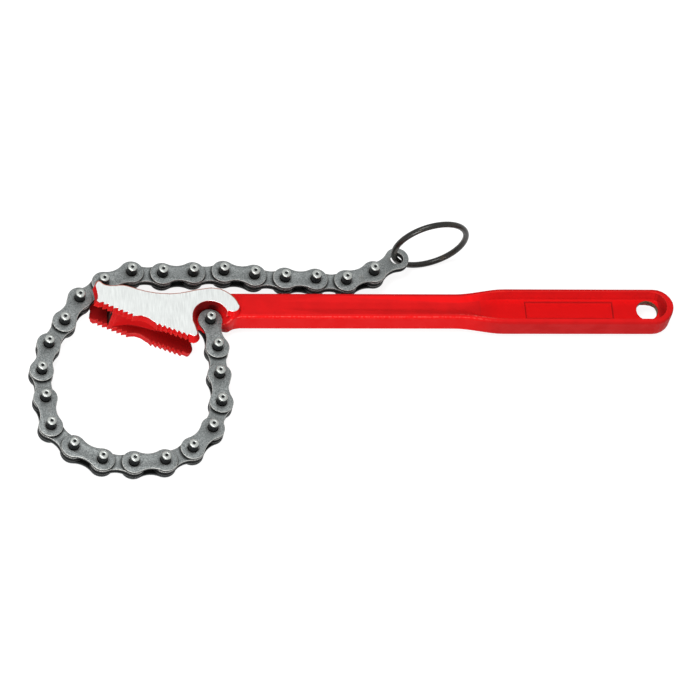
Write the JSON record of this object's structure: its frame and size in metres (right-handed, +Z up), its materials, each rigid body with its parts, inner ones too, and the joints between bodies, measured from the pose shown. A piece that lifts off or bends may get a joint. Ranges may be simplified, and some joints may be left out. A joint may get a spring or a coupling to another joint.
{
  "type": "chain pipe wrench",
  "caption": "Chain pipe wrench with a forged lever, double serrated jaws, a riveted leaf chain hooked over the nose and a pull ring.",
  "frame": {"origin": "point on the ground outer face of the rear jaw, on the lever's centreline, 20 mm short of the anchor pin's axis towards the nose", "axes": "+X along the lever to the grip, +Y away from the pipe, +Z up from the rear jaw to the front jaw, through the chain's hinge axes"},
  "size_m": [0.3361, 0.1342, 0.0421],
  "materials": {
    "red_paint": "glossy bright red paint over a forging, jaw faces ground bare",
    "chain_steel": "mid grey phosphated plates with bright riveted pin ends",
    "ring_steel": "dark brown-black oiled spring steel wire"
  },
  "bodies": {
    "lever": {"lever": "red_paint"},
    "outer_link_01": {"outer_link_01_pin_plate": "chain_steel", "outer_link_01_cover_plate": "chain_steel"},
    "inner_link_01": {"inner_link_01_front_plate": "chain_steel", "inner_link_01_rear_plate": "chain_steel"},
    "outer_link_02": {"outer_link_02_pin_plate": "chain_steel", "outer_link_02_cover_plate": "chain_steel"},
    "inner_link_02": {"inner_link_02_front_plate": "chain_steel", "inner_link_02_rear_plate": "chain_steel"},
    "outer_link_03": {"outer_link_03_pin_plate": "chain_steel", "outer_link_03_cover_plate": "chain_steel"},
    "inner_link_03": {"inner_link_03_front_plate": "chain_steel", "inner_link_03_rear_plate": "chain_steel"},
    "outer_link_04": {"outer_link_04_pin_plate": "chain_steel", "outer_link_04_cover_plate": "chain_steel"},
    "inner_link_04": {"inner_link_04_front_plate": "chain_steel", "inner_link_04_rear_plate": "chain_steel"},
    "outer_link_05": {"outer_link_05_pin_plate": "chain_steel", "outer_link_05_cover_plate": "chain_steel"},
    "inner_link_05": {"inner_link_05_front_plate": "chain_steel", "inner_link_05_rear_plate": "chain_steel"},
    "outer_link_06": {"outer_link_06_pin_plate": "chain_steel", "outer_link_06_cover_plate": "chain_steel"},
    "inner_link_06": {"inner_link_06_front_plate": "chain_steel", "inner_link_06_rear_plate": "chain_steel"},
    "outer_link_07": {"outer_link_07_pin_plate": "chain_steel", "outer_link_07_cover_plate": "chain_steel"},
    "inner_link_07": {"inner_link_07_front_plate": "chain_steel", "inner_link_07_rear_plate": "chain_steel"},
    "outer_link_08": {"outer_link_08_pin_plate": "chain_steel", "outer_link_08_cover_plate": "chain_steel"},
    "inner_link_08": {"inner_link_08_front_plate": "chain_steel", "inner_link_08_rear_plate": "chain_steel"},
    "outer_link_09": {"outer_link_09_pin_plate": "chain_steel", "outer_link_09_cover_plate": "chain_steel"},
    "inner_link_09": {"inner_link_09_front_plate": "chain_steel", "inner_link_09_rear_plate": "chain_steel"},
    "outer_link_10": {"outer_link_10_pin_plate": "chain_steel", "outer_link_10_cover_plate": "chain_steel"},
    "inner_link_10": {"inner_link_10_front_plate": "chain_steel", "inner_link_10_rear_plate": "chain_steel"},
    "outer_link_11": {"outer_link_11_pin_plate": "chain_steel", "outer_link_11_cover_plate": "chain_steel"},
    "inner_link_11": {"inner_link_11_front_plate": "chain_steel", "inner_link_11_rear_plate": "chain_steel"},
    "outer_link_12": {"outer_link_12_pin_plate": "chain_steel", "outer_link_12_cover_plate": "chain_steel"},
    "inner_link_12": {"inner_link_12_front_plate": "chain_steel", "inner_link_12_rear_plate": "chain_steel"},
    "outer_link_13": {"outer_link_13_pin_plate": "chain_steel", "outer_link_13_cover_plate": "chain_steel"},
    "inner_link_13": {"inner_link_13_front_plate": "chain_steel", "inner_link_13_rear_plate": "chain_steel"},
    "pull_ring": {"pull_ring": "ring_steel"}
  },
  "joints": [
    {"name": "anchor_pin_hinge", "type": "hinge", "parent": "lever", "child": "outer_link_01", "pos_m": [0.02, -0.0073, 0.011], "axis": [0, 0, 1], "range_deg": [0, 12]},
    {"name": "pin_02_hinge", "type": "hinge", "parent": "outer_link_01", "child": "inner_link_01", "pos_m": [0.02258, -0.02296, 0.011], "axis": [0, 0, 1], "range_deg": [0, 6]},
    {"name": "pin_03_hinge", "type": "hinge", "parent": "inner_link_01", "child": "outer_link_02", "pos_m": [0.0224, -0.03884, 0.011], "axis": [0, 0, 1], "range_deg": [0, 4]},
    {"name": "pin_04_hinge", "type": "hinge", "parent": "outer_link_02", "child": "inner_link_02", "pos_m": [0.02223, -0.05471, 0.011], "axis": [0, 0, 1], "range_deg": [0, 20]},
    {"name": "pin_05_hinge", "type": "hinge", "parent": "inner_link_02", "child": "outer_link_03", "pos_m": [0.01665, -0.06957, 0.011], "axis": [0, 0, 1], "range_deg": [0, 23]},
    {"name": "pin_06_hinge", "type": "hinge", "parent": "outer_link_03", "child": "inner_link_03", "pos_m": [0.00571, -0.08107, 0.011], "axis": [0, 0, 1], "range_deg": [0, 21]},
    {"name": "pin_07_hinge", "type": "hinge", "parent": "inner_link_03", "child": "outer_link_04", "pos_m": [-0.00863, -0.08789, 0.011], "axis": [0, 0, 1], "range_deg": [0, 22]},
    {"name": "pin_08_hinge", "type": "hinge", "parent": "outer_link_04", "child": "inner_link_04", "pos_m": [-0.02448, -0.08885, 0.011], "axis": [0, 0, 1], "range_deg": [0, 9]},
    {"name": "pin_09_hinge", "type": "hinge", "parent": "inner_link_04", "child": "outer_link_05", "pos_m": [-0.04028, -0.08732, 0.011], "axis": [0, 0, 1], "range_deg": [0, 23]},
    {"name": "pin_10_hinge", "type": "hinge", "parent": "outer_link_05", "child": "inner_link_05", "pos_m": [-0.05423, -0.07975, 0.011], "axis": [0, 0, 1], "range_deg": [0, 19]},
    {"name": "pin_11_hinge", "type": "hinge", "parent": "inner_link_05", "child": "outer_link_06", "pos_m": [-0.06495, -0.06804, 0.011], "axis": [0, 0, 1], "range_deg": [0, 36]},
    {"name": "pin_12_hinge", "type": "hinge", "parent": "outer_link_06", "child": "inner_link_06", "pos_m": [-0.06676, -0.05227, 0.011], "axis": [0, 0, 1], "range_deg": [0, 5]},
    {"name": "pin_13_hinge", "type": "hinge", "parent": "inner_link_06", "child": "outer_link_07", "pos_m": [-0.06774, -0.03643, 0.011], "axis": [0, 0, 1], "range_deg": [0, 20]},
    {"name": "pin_14_hinge", "type": "hinge", "parent": "outer_link_07", "child": "inner_link_07", "pos_m": [-0.06325, -0.0212, 0.011], "axis": [0, 0, 1], "range_deg": [0, 17]},
    {"name": "pin_15_hinge", "type": "hinge", "parent": "inner_link_07", "child": "outer_link_08", "pos_m": [-0.05451, -0.00795, 0.011], "axis": [0, 0, 1], "range_deg": [0, 4]},
    {"name": "pin_16_hinge", "type": "hinge", "parent": "outer_link_08", "child": "inner_link_08", "pos_m": [-0.046, 0.00545, 0.011], "axis": [0, 0, 1], "range_deg": [0, 18]},
    {"name": "pin_17_hinge", "type": "hinge", "parent": "inner_link_08", "child": "outer_link_09", "pos_m": [-0.0331, 0.0147, 0.011], "axis": [0, 0, 1], "range_deg": [0, 13]},
    {"name": "pin_18_hinge", "type": "hinge", "parent": "outer_link_09", "child": "inner_link_09", "pos_m": [-0.01849, 0.0209, 0.011], "axis": [0, 0, 1], "range_deg": [0, 30]},
    {"name": "pin_19_hinge", "type": "hinge", "parent": "inner_link_09", "child": "outer_link_10", "pos_m": [-0.00263, 0.02007, 0.011], "axis": [0, 0, 1], "range_deg": [0, 30]},
    {"name": "pin_20_hinge", "type": "hinge", "parent": "outer_link_10", "child": "inner_link_10", "pos_m": [0.01323, 0.02063, 0.011], "axis": [0, 0, 1], "range_deg": [0, 30]},
    {"name": "pin_21_hinge", "type": "hinge", "parent": "inner_link_10", "child": "outer_link_11", "pos_m": [0.02908, 0.02146, 0.011], "axis": [0, 0, 1], "range_deg": [0, 30]},
    {"name": "pin_22_hinge", "type": "hinge", "parent": "outer_link_11", "child": "inner_link_11", "pos_m": [0.0448, 0.01925, 0.011], "axis": [0, 0, 1], "range_deg": [0, 30]},
    {"name": "pin_23_hinge", "type": "hinge", "parent": "inner_link_11", "child": "outer_link_12", "pos_m": [0.06059, 0.01759, 0.011], "axis": [0, 0, 1], "range_deg": [0, 30]},
    {"name": "pin_24_hinge", "type": "hinge", "parent": "outer_link_12", "child": "inner_link_12", "pos_m": [0.07646, 0.01703, 0.011], "axis": [0, 0, 1], "range_deg": [0, 30]},
    {"name": "pin_25_hinge", "type": "hinge", "parent": "inner_link_12", "child": "outer_link_13", "pos_m": [0.09231, 0.0162, 0.011], "axis": [0, 0, 1], "range_deg": [-3, 30]},
    {"name": "pin_26_hinge", "type": "hinge", "parent": "outer_link_13", "child": "inner_link_13", "pos_m": [0.10723, 0.02163, 0.011], "axis": [0, 0, 1], "range_deg": [-10, 30]},
    {"name": "ring_swing", "type": "hinge", "parent": "inner_link_13", "child": "pull_ring", "pos_m": [0.12039, 0.03051, 0.011], "axis": [0, 0, 1], "range_deg": [-20, 110]}
  ],
  "couplings": [
    {"joint": "anchor_pin_hinge", "follows": "pin_11_hinge", "ratio": 0.33333},
    {"joint": "pin_02_hinge", "follows": "pin_11_hinge", "ratio": 0.16667},
    {"joint": "pin_03_hinge", "follows": "pin_11_hinge", "ratio": 0.11111},
    {"joint": "pin_04_hinge", "follows": "pin_11_hinge", "ratio": 0.55556},
    {"joint": "pin_05_hinge", "follows": "pin_11_hinge", "ratio": 0.63889},
    {"joint": "pin_06_hinge", "follows": "pin_11_hinge", "ratio": 0.58333},
    {"joint": "pin_07_hinge", "follows": "pin_11_hinge", "ratio": 0.61111},
    {"joint": "pin_08_hinge", "follows": "pin_11_hinge", "ratio": 0.25},
    {"joint": "pin_09_hinge", "follows": "pin_11_hinge", "ratio": 0.63889},
    {"joint": "pin_10_hinge", "follows": "pin_11_hinge", "ratio": 0.52778},
    {"joint": "pin_12_hinge", "follows": "pin_11_hinge", "ratio": 0.13889},
    {"joint": "pin_13_hinge", "follows": "pin_11_hinge", "ratio": 0.55556},
    {"joint": "pin_14_hinge", "follows": "pin_11_hinge", "ratio": 0.47222},
    {"joint": "pin_15_hinge", "follows": "pin_11_hinge", "ratio": 0.11111},
    {"joint": "pin_16_hinge", "follows": "pin_11_hinge", "ratio": 0.5},
    {"joint": "pin_17_hinge", "follows": "pin_11_hinge", "ratio": 0.36111}
  ]
}
